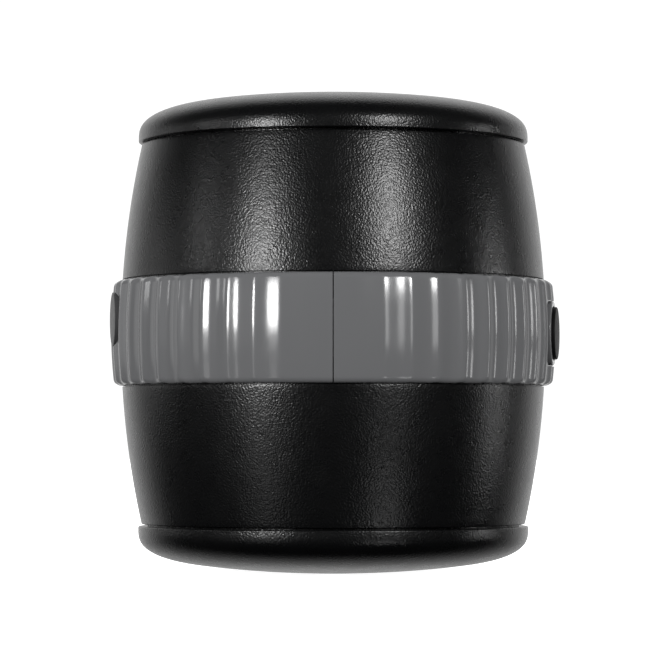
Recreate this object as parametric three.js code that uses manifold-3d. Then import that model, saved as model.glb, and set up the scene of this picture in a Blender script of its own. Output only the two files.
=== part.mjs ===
// Rock tumbler barrel: a bellied two-part casing round a rubber liner, with a domed base cap, a domed screw
// lid of the same outline and a fluted grip band of two half rings.
// Millimetres, +Z up. The origin is the middle of the base cap's resting pad, and the front is -Y.
import * as THREE from "three";
import { mergeVertices } from "three/addons/utils/BufferGeometryUtils.js";
import Module from "manifold-3d";

const wasm = await Module();
wasm.setup();

// ---- Whole barrel ------------------------------------------------------------------------------
const HEIGHT = 140; // over both caps
const MIDDLE = HEIGHT / 2;
const GAP = 0.3; // clearance between neighbouring pieces
const FINE = 36; // sides of the large round pieces
const ROUND = 24; // sides of the disc, the plug and the clip
const SMALL = 12; // sides of the screws and their holes

// ---- Domed caps, measured down from the apex ------------------------------------------------------
const PAD_RADIUS = 8; // small flat at the apex, which the barrel stands on
const DOME_ARC = 317; // radius of the dome's curve
const SHOULDER_START = 37.1; // radius where the dome turns into the rounded shoulder
const SHOULDER_DROP = 8.25;
const SHOULDER_ACROSS = 2.9; // the shoulder is a quarter of a superellipse with these two powers
const SHOULDER_DOWN = 3.3;
const SHOULDER_STEPS = [0, 30, 45, 57, 67, 75, 82, 87, 90]; // degrees
const RIM_RADIUS = 57.25; // rolling rim
const RIM_ROUND = 0.4; // rounding of the rim's edge at the groove
const CAP_DEPTH = 13.75;
const CAP_WALL = 2.6;
const SLOT_TOP = 10; // the slot between the rim and the inner wall ends at this depth
const SLOT_OUTER = 54.8;
const WALL_OUTER = 52.9; // the inner wall, threaded in the lid
const WALL_INNER = 50.9;
const LID_WALL_DEPTH = 13.6;
const DOME_HALFWAY = 24; // a point on the dome between its pad and its shoulder
const PRESS_RING_OUTER = 38.5; // ring under the lid that bears on the pressure plate
const PRESS_RING_INNER = 36;

// ---- Shells ------------------------------------------------------------------------------------
const GROOVE = 0.6; // open groove between a cap and its shell
const SHELL_FOOT = CAP_DEPTH + GROOVE;
const BASE_WALL_DEPTH = SHELL_FOOT - GAP; // the base cap's inner wall carries the lower shell
const LIP_OUTER = SLOT_OUTER - GAP; // ring of each shell that stands in its cap's slot
const LIP_INNER = WALL_OUTER + GAP;
const LIP_DEPTH = SLOT_TOP + 2 * GAP;
const BELLY_RADIUS = 62.4;
const BELLY_ARC = 255;
const SHELL_INNER_RADIUS = 58.6; // inside of the wall at the middle
const SHELL_INNER_ARC = 300;
const FLOOR_THICKNESS = 2.6;
const SEAM_Z = 64; // the shells part here, under the band
const SEAT_RADIUS = 61; // bottom of the rebate that the band sits in
const LAP_OUTER = SHELL_INNER_RADIUS - GAP; // ring of the lower shell inside the upper one
const LAP_INNER = 55.4;
const LAP_LOW = 57;
const LAP_CHAMFER = 2; // rise of the slope under the lap ring
const LAP_HIGH = 78;
const NECK_OUTER = 49;
const NECK_INNER = 46.3;
const NECK_TOP = HEIGHT - 7.2;

// ---- Screw thread of the lid -----------------------------------------------------------------------
const PITCH = 3.3;
const THREAD_START = 127.2; // height of the male ridge's middle where it starts
const MALE_SWEEP = [0, 480]; // degrees of turn
const FEMALE_SWEEP = [-120, 360];
const THREAD_DEPTH = 1.4;
const THREAD_ROOT = 1.5; // width of the ridge where it leaves the wall
const THREAD_CREST = 0.7;
const THREAD_BURIED = 0.6; // how far the ridge runs into its wall
const THREAD_RUNOUT = 24; // degrees over which each end rises to full depth
const THREAD_STEP = 12; // degrees

// ---- Grip band -------------------------------------------------------------------------------------
const BAND_LOW = 54.8;
const BAND_HIGH = 85.6;
const BAND_INNER = SEAT_RADIUS + GAP;
const BAND_RADIUS = 64.75; // mean radius of the face at the middle
const BAND_ARC = 125; // radius of the face's bulge seen from the side
const BAND_ROUND = 1.8;
const FIRST_CREST = 5.3; // degrees from a seam
const FLUTES_PER_QUARTER = 11.5; // from the first crest to the valley at the side of the barrel
const FLUTE_PITCH = (90 - FIRST_CREST) / FLUTES_PER_QUARTER; // degrees
const FLUTE_STEPS = 4; // sections per flute
const FLUTE_DEPTH = 0.5; // half the height of the waves
const FLUTE_CREST = 0.35; // roundness of the crests: small is sharp
const FULL_ANGLE = 50; // the flutes grow from nothing at a seam to their full depth here
const CREST_SHORT = 0.5; // the crests stop short of the band's edges by this share of the wave
const TONGUE = { thickness: 1.4, height: 16, length: 3.5, radius: 63 };

// ---- Badge and its seat on the right, plug on the left --------------------------------------------
const BADGE_AZIMUTH = -9; // degrees from +X, anticlockwise from above
const BADGE_Z = MIDDLE;
const BADGE_RADIUS = 7.65;
const BADGE_FACE = 66.1; // distance of the disc's face from the barrel's axis
const BADGE_THICKNESS = 1.4;
const SEAT_BOSS_RADIUS = 9.4; // round boss that the disc is set in
const SEAT_BOSS_FACE = 65.1;
const SEAT_BOSS_CHAMFER = 0.4;
const FLAT_FACE = 63.8; // square flat in the flutes that the boss stands on
const FLAT_WIDTH = 21.2;
const FLAT_HEIGHT = 19.2;
const BADGE_CHAMFER = 0.25;
const ROUND_CUT_FACE = BADGE_FACE + 3; // cutters run out past the band to here
const PLUG_AZIMUTH = 189;
const PLUG_Z = 74;
const PLUG_RADIUS = 7.9;
const PLUG_EDGE_FACE = 65.1;
const PLUG_CROWN_FACE = 65.45;
const PLUG_BACK = 63.3;

// ---- Screws ------------------------------------------------------------------------------------
const BASE_SCREW = { head: 3, shank: 1.3, headHeight: 1.7, length: 9.1 };
const BASE_SCREWS = 4;
const BASE_SCREW_CIRCLE = 32;
const BASE_POST_RADIUS = 4.2;
const SHELL_SCREW = { head: 2.4, shank: 1.2, headHeight: 1.2, length: 5.1 };
const SHELL_SCREWS = 6;
const SHELL_SCREW_FIRST = 21; // degrees
const SHELL_SCREW_FACE = SEAT_RADIUS - 0.1;
const BAND_SCREW = { head: 2.8, shank: 1.3, headHeight: 1.4, length: 7 };
const HEAD_SINK = 0.1; // the heads sit this far below the surface round them

// ---- Liner and inner lid -----------------------------------------------------------------------------
const LINER_RADIUS = 55.05;
const LINER_ARC = 845;
const LINER_LOW = SHELL_FOOT + FLOOR_THICKNESS + GAP;
const LINER_SHOULDER = HEIGHT - SHELL_FOOT - FLOOR_THICKNESS - GAP;
const LINER_TOP = 127;
const CAVITY_SIDES = 10;
const CAVITY_RADIUS = 52.6; // over the corners, at the middle
const CAVITY_END_RADIUS = 50.4;
const CAVITY_LOW = 23.6;
const CAVITY_HIGH = 117.4;
const CAVITY_CORNER = 6;
const MOUTH_RADIUS = 40;
const INNER_LID_RADIUS = 45.7;
const INNER_LID_THICKNESS = 3.1;
const INNER_LID_RIM = 1.2; // rim that holds the pressure plate central
const INNER_LID_HOLLOW = 1.5; // the underside's middle stops this far into the mouth
const INNER_LID_LEG = 5; // width of the ring that fills the mouth
const PLUG_DEPTH = 5.4;
const PLATE_RADIUS = 43.4;
const PLATE_LOW = 130.7;
const PLATE_THICKNESS = 1.8;
const BOSS_RADIUS = 6;
const BOSS_FLANGE = 7.2;
const BOSS_FLANGE_HEIGHT = 1.2;
const COLLAR_INNER = 7.6;
const COLLAR_OUTER = 11;
const COLLAR_TOP = 136.3;
const CLIP_INNER = 6.4;
const CLIP_OUTER = 9;
const CLIP_LOW = 134.4;
const CLIP_THICKNESS = 1;

// ---- Materials -------------------------------------------------------------------------------------
const material = (color, roughness, metalness = 0) =>
  new THREE.MeshStandardMaterial({ color, roughness, metalness });
const MATERIALS = {
  casing: () => material(0x141415, 0.42),
  band: () => material(0x67686b, 0.25),
  badge: () => material(0x0c0c0d, 0.3),
  plug: () => material(0x3c3c3e, 0.4),
  rubber: () => material(0x1b1a1a, 0.85),
  plate: () => material(0x2a2a2c, 0.55),
  steel: () => material(0x9b9c9e, 0.35, 1),
};

// ---- Geometry helpers ------------------------------------------------------------------------------
const radians = THREE.MathUtils.degToRad;

// Points along a circular or elliptical arc in the profile plane, from angle a0 to a1 in degrees.
function arc(r, z, across, up, a0, a1, steps) {
  return Array.from({ length: steps + 1 }, (_, i) => {
    const a = radians(a0 + ((a1 - a0) * i) / steps);
    return [r + across * Math.cos(a), z + up * Math.sin(a)];
  });
}

// Radius of a bellied surface at a height, from its radius at the middle and its arc.
const bellied = (middleRadius, bend, z) =>
  middleRadius - bend + Math.sqrt(bend * bend - (z - MIDDLE) ** 2);

// A bellied stretch of profile between two heights.
function belliedLine(middleRadius, bend, z0, z1, steps) {
  return Array.from({ length: steps + 1 }, (_, i) => {
    const z = z0 + ((z1 - z0) * i) / steps;
    return [bellied(middleRadius, bend, z), z];
  });
}

// Turns a closed outline of [radius, height] points round the Z axis. The order of the points is set so
// that the faces point out.
function revolve(outline, sides = FINE) {
  const area = outline.reduce((sum, [r, z], i) => {
    const [nextR, nextZ] = outline[(i + 1) % outline.length];
    return sum + r * nextZ - nextR * z;
  }, 0);
  const ordered = area > 0 ? outline : [...outline].reverse();
  const onAxis = ordered[0][0] === 0 && ordered[ordered.length - 1][0] === 0;
  const closed = onAxis ? ordered : [...ordered, ordered[0]];
  const points = closed.map(([r, z]) => new THREE.Vector2(r, z));
  return new THREE.LatheGeometry(points, sides).rotateX(Math.PI / 2);
}

// Sweeps a section of [radius, height] points round the Z axis over a list of angles, with flat ends.
function sweep(sectionAt, angles) {
  const rings = angles.map((degrees) => {
    const a = radians(degrees);
    return sectionAt(degrees).map(([r, z]) => [r * Math.cos(a), r * Math.sin(a), z]);
  });
  const count = rings[0].length;
  const last = (rings.length - 1) * count;
  const index = [];
  for (let ring = 0; ring < rings.length - 1; ring++) {
    for (let i = 0; i < count; i++) {
      const a = ring * count + i;
      const b = ring * count + ((i + 1) % count);
      index.push(a, a + count, b, b, a + count, b + count);
    }
  }
  for (let i = 1; i < count - 1; i++) {
    index.push(0, i, i + 1);
    index.push(last, last + i + 1, last + i);
  }
  const geometry = new THREE.BufferGeometry();
  geometry.setAttribute("position", new THREE.Float32BufferAttribute(rings.flat(2), 3));
  return geometry.setIndex(index);
}

// A geometry as a manifold-3d solid.
function solid(geometry) {
  const bare = new THREE.BufferGeometry();
  bare.setAttribute("position", geometry.getAttribute("position"));
  if (geometry.index) bare.setIndex(geometry.index);
  const merged = mergeVertices(bare, 1e-4);
  return new wasm.Manifold(
    new wasm.Mesh({
      numProp: 3,
      vertProperties: merged.getAttribute("position").array,
      triVerts: new Uint32Array(merged.index.array),
    }),
  );
}

// One geometry from a base with some geometries joined on and others cut away.
function combine(base, added, removed = []) {
  let whole = solid(base);
  for (const geometry of added) whole = whole.add(solid(geometry));
  for (const geometry of removed) whole = whole.subtract(solid(geometry));
  const made = whole.getMesh();
  const geometry = new THREE.BufferGeometry();
  geometry.setAttribute("position", new THREE.BufferAttribute(made.vertProperties, 3));
  geometry.setIndex(new THREE.BufferAttribute(made.triVerts, 1));
  geometry.computeVertexNormals();
  return geometry;
}

// Lays a shape drawn along +Z outward along a radius of the barrel.
const outward = (geometry, azimuth, z) =>
  geometry
    .rotateY(Math.PI / 2)
    .rotateZ(radians(azimuth))
    .translate(0, 0, z);

// ---- Shared shapes ---------------------------------------------------------------------------------

// Depth of the cap's outside below its apex, on the dome.
const domeDepth = (r) =>
  Math.max(0, r * r - PAD_RADIUS * PAD_RADIUS) / (2 * DOME_ARC);

// Outside of a cap as [radius, depth] points, from the apex to the rim's edge.
function capOutside() {
  const dome = [0, PAD_RADIUS, DOME_HALFWAY].map((r) => [r, domeDepth(r)]);
  const shoulder = SHOULDER_STEPS.map(radians).map((a) => {
    const r = SHOULDER_START + (RIM_RADIUS - SHOULDER_START) * Math.sin(a) ** (2 / SHOULDER_ACROSS);
    const left = Math.max(0, Math.cos(a)) ** (2 / SHOULDER_DOWN);
    return [r, domeDepth(r) + SHOULDER_DROP * (1 - left)];
  });
  const edgeCentre = CAP_DEPTH - RIM_ROUND;
  const edge = arc(RIM_RADIUS - RIM_ROUND, edgeCentre, RIM_ROUND, RIM_ROUND, 0, 90, 2);
  return [...dome, ...shoulder, ...edge];
}

// Inside of a cap from its rim's edge to the foot of the inner wall.
const capRim = (wallDepth) => [
  [SLOT_OUTER, CAP_DEPTH],
  [SLOT_OUTER, SLOT_TOP],
  [WALL_OUTER, SLOT_TOP],
  [WALL_OUTER, wallDepth],
  [WALL_INNER, wallDepth],
];

const innerDome = (r) => [r, CAP_WALL + domeDepth(r)];

// A countersunk screw with its head's face at the origin and its shank along -Z.
const screwShape = ({ head, shank, headHeight, length }) =>
  revolve(
    [
      [0, 0],
      [head, 0],
      [head, -GAP],
      [shank, -headHeight],
      [shank, -length + shank],
      [0, -length],
    ],
    SMALL,
  );

// The hole for that screw: the same shape, larger by the gap, opening past the head's face.
const screwHole = ({ head, shank, headHeight, length }) =>
  revolve(
    [
      [0, 1],
      [head + GAP, 1],
      [head + GAP, -GAP],
      [shank + GAP, -headHeight],
      [shank + GAP, -length - GAP],
      [0, -length - GAP],
    ],
    SMALL,
  );

// A helical ridge. side is 1 outside a wall and -1 inside one; offset shifts it along the axis.
function ridge(wallRadius, side, offset, [from, to]) {
  const steps = Math.round((to - from) / THREAD_STEP);
  const angles = Array.from({ length: steps + 1 }, (_, i) => from + i * THREAD_STEP);
  const section = (angle) => {
    const fromEnd = Math.min(angle - from, to - angle);
    const full = Math.min(1, 0.15 + fromEnd / THREAD_RUNOUT);
    const middle = THREAD_START + offset + (PITCH * angle) / 360;
    const crest = wallRadius + side * THREAD_DEPTH * full;
    const root = wallRadius - side * THREAD_BURIED;
    const points = [
      [root, middle - THREAD_ROOT / 2],
      [crest, middle - THREAD_CREST / 2],
      [crest, middle + THREAD_CREST / 2],
      [root, middle + THREAD_ROOT / 2],
    ];
    return side > 0 ? points : points.reverse();
  };
  return sweep(section, angles);
}

// ---- Caps ------------------------------------------------------------------------------------------
function lidCap() {
  const ringDepth = HEIGHT - PLATE_LOW - PLATE_THICKNESS - GAP;
  const bossDepth = HEIGHT - CLIP_LOW + GAP;
  const inside = [
    ...capRim(LID_WALL_DEPTH),
    innerDome(WALL_INNER),
    innerDome(PRESS_RING_OUTER),
    [PRESS_RING_OUTER, ringDepth],
    [PRESS_RING_INNER, ringDepth],
    innerDome(PRESS_RING_INNER),
    innerDome(BOSS_RADIUS),
    [BOSS_RADIUS, bossDepth],
    [BOSS_FLANGE, bossDepth],
    [BOSS_FLANGE, bossDepth + BOSS_FLANGE_HEIGHT],
    [0, bossDepth + BOSS_FLANGE_HEIGHT],
  ];
  const outline = [...capOutside(), ...inside].map(([r, depth]) => [r, HEIGHT - depth]);
  return combine(revolve(outline), [ridge(WALL_INNER, -1, PITCH / 2, FEMALE_SWEEP)]);
}

const baseScrewPlaces = Array.from({ length: BASE_SCREWS }, (_, i) => {
  const a = radians(45 + (360 / BASE_SCREWS) * i);
  return [BASE_SCREW_CIRCLE * Math.cos(a), BASE_SCREW_CIRCLE * Math.sin(a)];
});
const BASE_SCREW_FACE = SHELL_FOOT + FLOOR_THICKNESS - HEAD_SINK;
const baseScrewHoles = () =>
  baseScrewPlaces.map(([x, y]) => screwHole(BASE_SCREW).translate(x, y, BASE_SCREW_FACE));

function baseCap() {
  const inside = [
    ...capRim(BASE_WALL_DEPTH),
    innerDome(WALL_INNER),
    innerDome(DOME_HALFWAY),
    innerDome(0),
  ];
  const posts = baseScrewPlaces.map(([x, y]) => {
    const low = CAP_WALL / 2 + domeDepth(BASE_SCREW_CIRCLE);
    const height = BASE_WALL_DEPTH - low;
    return new THREE.CylinderGeometry(BASE_POST_RADIUS, BASE_POST_RADIUS, height, SMALL)
      .rotateX(Math.PI / 2)
      .translate(x, y, low + height / 2);
  });
  return combine(revolve([...capOutside(), ...inside]), posts, baseScrewHoles());
}

// ---- Shells ----------------------------------------------------------------------------------------
const shellScrewAzimuths = Array.from(
  { length: SHELL_SCREWS },
  (_, i) => SHELL_SCREW_FIRST + (360 / SHELL_SCREWS) * i,
);

// The holes in the shells' lapped walls for the radial screws.
function wallHoles() {
  const joint = shellScrewAzimuths.map((azimuth) =>
    outward(screwHole(SHELL_SCREW).translate(0, 0, SHELL_SCREW_FACE), azimuth, MIDDLE),
  );
  const band = bandScrews.map(({ face, azimuth, z }) =>
    outward(screwHole(BAND_SCREW).translate(0, 0, face), azimuth, z),
  );
  return [...joint, ...band];
}

// The lip that stands in a cap's slot, as [radius, depth] points from inside to outside.
const lip = [
  [LIP_INNER, SHELL_FOOT],
  [LIP_INNER, LIP_DEPTH],
  [LIP_OUTER, LIP_DEPTH],
  [LIP_OUTER, SHELL_FOOT],
];

function lowerShell() {
  const inner = (z0, z1, steps) => belliedLine(SHELL_INNER_RADIUS, SHELL_INNER_ARC, z0, z1, steps);
  const outline = [
    [0, SHELL_FOOT],
    ...lip,
    ...belliedLine(BELLY_RADIUS, BELLY_ARC, SHELL_FOOT, BAND_LOW - GAP, 4),
    [SEAT_RADIUS, BAND_LOW - GAP],
    [SEAT_RADIUS, SEAM_Z - GAP / 2],
    [LAP_OUTER, SEAM_Z - GAP / 2],
    [LAP_OUTER, LAP_HIGH],
    [LAP_INNER, LAP_HIGH],
    [LAP_INNER, LAP_LOW + LAP_CHAMFER],
    ...inner(LAP_LOW, SHELL_FOOT + FLOOR_THICKNESS, 2),
    [0, SHELL_FOOT + FLOOR_THICKNESS],
  ];
  return combine(revolve(outline), [], [...baseScrewHoles(), ...wallHoles()]);
}

function upperShell() {
  const top = HEIGHT - SHELL_FOOT;
  const outline = [
    [SHELL_INNER_RADIUS, SEAM_Z + GAP / 2],
    [SEAT_RADIUS, SEAM_Z + GAP / 2],
    [SEAT_RADIUS, BAND_HIGH + GAP],
    ...belliedLine(BELLY_RADIUS, BELLY_ARC, BAND_HIGH + GAP, top, 4),
    ...[...lip].reverse().map(([r, depth]) => [r, HEIGHT - depth]),
    [NECK_OUTER, top],
    [NECK_OUTER, NECK_TOP],
    [NECK_INNER, NECK_TOP],
    [NECK_INNER, top - FLOOR_THICKNESS],
    ...belliedLine(SHELL_INNER_RADIUS, SHELL_INNER_ARC, top - FLOOR_THICKNESS, LAP_HIGH, 2),
  ];
  return combine(revolve(outline), [ridge(NECK_OUTER, 1, 0, MALE_SWEEP)], wallHoles());
}

// ---- Grip band -------------------------------------------------------------------------------------
const bandScrews = [
  { side: "right", azimuth: BADGE_AZIMUTH, z: BADGE_Z, face: BADGE_FACE - BADGE_THICKNESS - 2 * GAP },
  { side: "left", azimuth: PLUG_AZIMUTH, z: PLUG_Z, face: PLUG_BACK - 2 * GAP },
];

// Height of the flutes' wave at an azimuth: broad hollows between narrower crests, growing from the
// seams in front and behind towards the sides.
function fluteOffset(azimuth) {
  const fromSeam = Math.abs(((azimuth % 180) + 180) % 180 - 90);
  const grown = THREE.MathUtils.smoothstep(fromSeam, 0, FULL_ANGLE);
  const across = Math.sin((Math.PI * (fromSeam - FIRST_CREST)) / FLUTE_PITCH);
  const sunk = (Math.hypot(across, FLUTE_CREST) - FLUTE_CREST) / (Math.hypot(1, FLUTE_CREST) - FLUTE_CREST);
  return FLUTE_DEPTH * grown * (1 - 2 * sunk);
}

function bandSection(azimuth) {
  const wave = fluteOffset(azimuth);
  const face = (z) => bellied(BAND_RADIUS, BAND_ARC, z) + wave;
  const shorter = CREST_SHORT * Math.max(0, wave);
  const low = BAND_LOW + shorter + BAND_ROUND;
  const high = BAND_HIGH - shorter - BAND_ROUND;
  return [
    [BAND_INNER, low - BAND_ROUND],
    ...arc(face(low) - BAND_ROUND, low, BAND_ROUND, BAND_ROUND, -90, 0, 2),
    [face(MIDDLE), MIDDLE],
    ...arc(face(high) - BAND_ROUND, high, BAND_ROUND, BAND_ROUND, 0, 90, 2),
    [BAND_INNER, high + BAND_ROUND],
  ];
}

// A block lying in the band's wall across a seam, for the tongue or, with room added, its socket.
function seamBlock(azimuth, room) {
  const { thickness, height, length, radius } = TONGUE;
  const block = new THREE.BoxGeometry(thickness + 2 * room, 2 * (length + room), height + 2 * room);
  return block.translate(radius, 0, 0).rotateZ(radians(azimuth)).translate(0, 0, MIDDLE);
}

// A half ring from its first seam to its last, with a tongue at the last and a socket at the first.
function halfRing(first, added, removed) {
  const seam = THREE.MathUtils.radToDeg(GAP / 2 / BAND_INNER);
  const steps = FLUTES_PER_QUARTER * FLUTE_STEPS;
  const fluted = Array.from(
    { length: steps + 1 },
    (_, i) => FIRST_CREST + (FLUTE_PITCH * i) / FLUTE_STEPS,
  );
  const mirrored = fluted.slice(0, -1).reverse().map((angle) => 180 - angle);
  const angles = [seam, ...fluted, ...mirrored, 180 - seam].map((angle) => first + angle);
  return combine(
    sweep(bandSection, angles),
    [seamBlock(first + 180, 0), ...added],
    [seamBlock(first, GAP), ...removed],
  );
}

// The square flat cut into the flutes, with the boss left standing on it.
function flatRoundBoss() {
  const depth = ROUND_CUT_FACE - FLAT_FACE;
  const block = new THREE.BoxGeometry(FLAT_HEIGHT, FLAT_WIDTH, depth).translate(0, 0, FLAT_FACE + depth / 2);
  const boss = revolve([[0, FLAT_FACE - 1], [SEAT_BOSS_RADIUS, FLAT_FACE - 1], ...bossTop()], ROUND);
  return combine(block, [], [boss]);
}

const bossTop = () => [
  [SEAT_BOSS_RADIUS, SEAT_BOSS_FACE - SEAT_BOSS_CHAMFER],
  [SEAT_BOSS_RADIUS - SEAT_BOSS_CHAMFER, SEAT_BOSS_FACE],
  [0, SEAT_BOSS_FACE],
];

function bandRight() {
  const foot = BAND_INNER + 5 * GAP; // inside the band's wall
  const boss = revolve([[0, foot], [SEAT_BOSS_RADIUS, foot], ...bossTop()], ROUND);
  const back = BADGE_FACE - BADGE_THICKNESS - GAP;
  const recess = roundCut(BADGE_RADIUS + GAP, back);
  const hole = screwHole(BAND_SCREW).translate(0, 0, bandScrews[0].face);
  const place = (geometry) => outward(geometry, BADGE_AZIMUTH, BADGE_Z);
  return halfRing(-90, [place(boss)], [place(flatRoundBoss()), place(recess), place(hole)]);
}

function bandLeft() {
  const recess = roundCut(PLUG_RADIUS + GAP, PLUG_BACK - GAP);
  const hole = screwHole(BAND_SCREW).translate(0, 0, bandScrews[1].face);
  const place = (geometry) => outward(geometry, PLUG_AZIMUTH, PLUG_Z);
  return halfRing(90, [], [place(recess), place(hole)]);
}

// A round cutter that starts at a distance from the barrel's axis and runs past the band's face.
const roundCut = (radius, from) =>
  revolve([[0, from], [radius, from], [radius, ROUND_CUT_FACE], [0, ROUND_CUT_FACE]], ROUND);

function badgeDisc() {
  const back = BADGE_FACE - BADGE_THICKNESS;
  const outline = [
    [0, back],
    [BADGE_RADIUS, back],
    [BADGE_RADIUS, BADGE_FACE - BADGE_CHAMFER],
    [BADGE_RADIUS - BADGE_CHAMFER, BADGE_FACE],
    [0, BADGE_FACE],
  ];
  return outward(revolve(outline, ROUND), BADGE_AZIMUTH, BADGE_Z);
}

function sidePlug() {
  const rise = PLUG_CROWN_FACE - PLUG_EDGE_FACE;
  const crown = arc(0, PLUG_EDGE_FACE, PLUG_RADIUS, rise, 0, 90, 5);
  crown[crown.length - 1][0] = 0;
  const outline = [[0, PLUG_BACK], [PLUG_RADIUS, PLUG_BACK], ...crown];
  return outward(revolve(outline, ROUND), PLUG_AZIMUTH, PLUG_Z);
}

// ---- Liner and inner lid -----------------------------------------------------------------------------
function liner() {
  const side = belliedLine(LINER_RADIUS, LINER_ARC, LINER_LOW + 3, LINER_SHOULDER - 2, 4);
  const outline = [
    [0, LINER_LOW],
    [side[0][0] - 3, LINER_LOW],
    ...side,
    [side[4][0] - 2, LINER_SHOULDER],
    [NECK_INNER - GAP, LINER_SHOULDER],
    [NECK_INNER - GAP, LINER_TOP],
    [0, LINER_TOP],
  ];
  const cavityOutline = [
    [0, CAVITY_LOW],
    [CAVITY_END_RADIUS - CAVITY_CORNER, CAVITY_LOW],
    [CAVITY_END_RADIUS, CAVITY_LOW + CAVITY_CORNER],
    [CAVITY_RADIUS, MIDDLE],
    [CAVITY_END_RADIUS, CAVITY_HIGH - CAVITY_CORNER],
    [CAVITY_END_RADIUS - CAVITY_CORNER, CAVITY_HIGH],
    [0, CAVITY_HIGH],
  ];
  const cavity = revolve(cavityOutline, CAVITY_SIDES).rotateZ(radians(180 / CAVITY_SIDES));
  const mouth = revolve([
    [0, CAVITY_HIGH - 1],
    [MOUTH_RADIUS, CAVITY_HIGH - 1],
    [MOUTH_RADIUS, LINER_TOP + 1],
    [0, LINER_TOP + 1],
  ]);
  return combine(revolve(outline), [], [cavity, mouth]);
}

const INNER_LID_LOW = LINER_TOP + GAP;
const INNER_LID_TOP = INNER_LID_LOW + INNER_LID_THICKNESS;

function innerLid() {
  const plug = MOUTH_RADIUS - 2 * GAP;
  const hollow = INNER_LID_LOW - INNER_LID_HOLLOW;
  const foot = INNER_LID_LOW - PLUG_DEPTH;
  const chamfer = INNER_LID_HOLLOW;
  return revolve([
    [0, hollow],
    [plug - INNER_LID_LEG - 1, hollow],
    [plug - INNER_LID_LEG, foot],
    [plug - chamfer, foot],
    [plug, foot + chamfer],
    [plug, INNER_LID_LOW],
    [INNER_LID_RADIUS, INNER_LID_LOW],
    [INNER_LID_RADIUS, INNER_LID_TOP + INNER_LID_RIM],
    [PLATE_RADIUS + GAP, INNER_LID_TOP + INNER_LID_RIM],
    [PLATE_RADIUS + GAP, INNER_LID_TOP],
    [0, INNER_LID_TOP],
  ]);
}

function pressurePlate() {
  const top = PLATE_LOW + PLATE_THICKNESS;
  return revolve([
    [0, PLATE_LOW],
    [PLATE_RADIUS, PLATE_LOW],
    [PLATE_RADIUS, top],
    [COLLAR_OUTER, top],
    [COLLAR_OUTER, COLLAR_TOP],
    [COLLAR_INNER, COLLAR_TOP],
    [COLLAR_INNER, CLIP_LOW + CLIP_THICKNESS + GAP],
    [CLIP_OUTER + GAP, CLIP_LOW + CLIP_THICKNESS + GAP],
    [CLIP_OUTER + GAP, CLIP_LOW - GAP],
    [COLLAR_INNER, CLIP_LOW - GAP],
    [COLLAR_INNER, top],
    [0, top],
  ]);
}

const lidClip = () =>
  revolve(
    [
      [CLIP_INNER, CLIP_LOW],
      [CLIP_OUTER, CLIP_LOW],
      [CLIP_OUTER, CLIP_LOW + CLIP_THICKNESS],
      [CLIP_INNER, CLIP_LOW + CLIP_THICKNESS],
    ],
    ROUND,
  );

// ---- Assembly --------------------------------------------------------------------------------------
function node(name, geometry, finish) {
  const mesh = new THREE.Mesh(geometry, MATERIALS[finish]());
  mesh.name = name;
  return mesh;
}

const casing = new THREE.Group();
casing.add(
  node("base_cap", baseCap(), "casing"),
  node("lower_shell", lowerShell(), "casing"),
  node("upper_shell", upperShell(), "casing"),
  node("liner", liner(), "rubber"),
);
baseScrewPlaces.forEach(([x, y], i) => {
  const screw = node(`base_screw_${i + 1}`, screwShape(BASE_SCREW), "steel");
  screw.position.set(x, y, BASE_SCREW_FACE);
  casing.add(screw);
});
shellScrewAzimuths.forEach((azimuth, i) => {
  const shape = outward(screwShape(SHELL_SCREW).translate(0, 0, SHELL_SCREW_FACE), azimuth, MIDDLE);
  casing.add(node(`shell_screw_${i + 1}`, shape, "steel"));
});

const band = new THREE.Group();
band.add(
  node("band_right", bandRight(), "band"),
  node("band_left", bandLeft(), "band"),
  node("badge_disc", badgeDisc(), "badge"),
  node("side_plug", sidePlug(), "plug"),
);
bandScrews.forEach(({ side, azimuth, z, face }) => {
  const shape = outward(screwShape(BAND_SCREW).translate(0, 0, face), azimuth, z);
  band.add(node(`band_screw_${side}`, shape, "steel"));
});

const lid = new THREE.Group();
lid.add(
  node("lid_cap", lidCap(), "casing"),
  node("inner_lid", innerLid(), "rubber"),
  node("pressure_plate", pressurePlate(), "plate"),
  node("lid_clip", lidClip(), "steel"),
);

const barrel = new THREE.Group();
barrel.add(casing, band, lid);
export default barrel;
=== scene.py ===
import math
from types import SimpleNamespace

import bpy
from bpy.props import FloatProperty, FloatVectorProperty, PointerProperty
from bpy.types import Operator, Panel, PropertyGroup
from mathutils import Matrix, Vector


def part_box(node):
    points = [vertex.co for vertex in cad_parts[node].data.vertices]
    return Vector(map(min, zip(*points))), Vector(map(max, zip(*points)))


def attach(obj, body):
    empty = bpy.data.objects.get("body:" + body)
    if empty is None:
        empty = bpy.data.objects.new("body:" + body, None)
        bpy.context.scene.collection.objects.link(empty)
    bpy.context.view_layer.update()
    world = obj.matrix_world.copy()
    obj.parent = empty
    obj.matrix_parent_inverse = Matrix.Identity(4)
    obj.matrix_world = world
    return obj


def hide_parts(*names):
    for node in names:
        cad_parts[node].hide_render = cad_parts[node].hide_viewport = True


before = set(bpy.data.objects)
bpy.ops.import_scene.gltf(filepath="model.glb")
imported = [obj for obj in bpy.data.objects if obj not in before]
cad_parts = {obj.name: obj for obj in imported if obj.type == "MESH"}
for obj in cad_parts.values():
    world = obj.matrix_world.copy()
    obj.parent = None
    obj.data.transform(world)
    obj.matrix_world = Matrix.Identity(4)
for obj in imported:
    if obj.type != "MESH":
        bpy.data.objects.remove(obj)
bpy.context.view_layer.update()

bl_info = {
    "name": "Rock Tumbler Barrel",
    "version": (1, 0, 0),
    "blender": (4, 5, 0),
    "location": "3D View > Sidebar > Barrel",
    "description": "Fine surfaces and finishes for a rock tumbler barrel, laid over its packed frame",
    "category": "Add Mesh",
}

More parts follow.
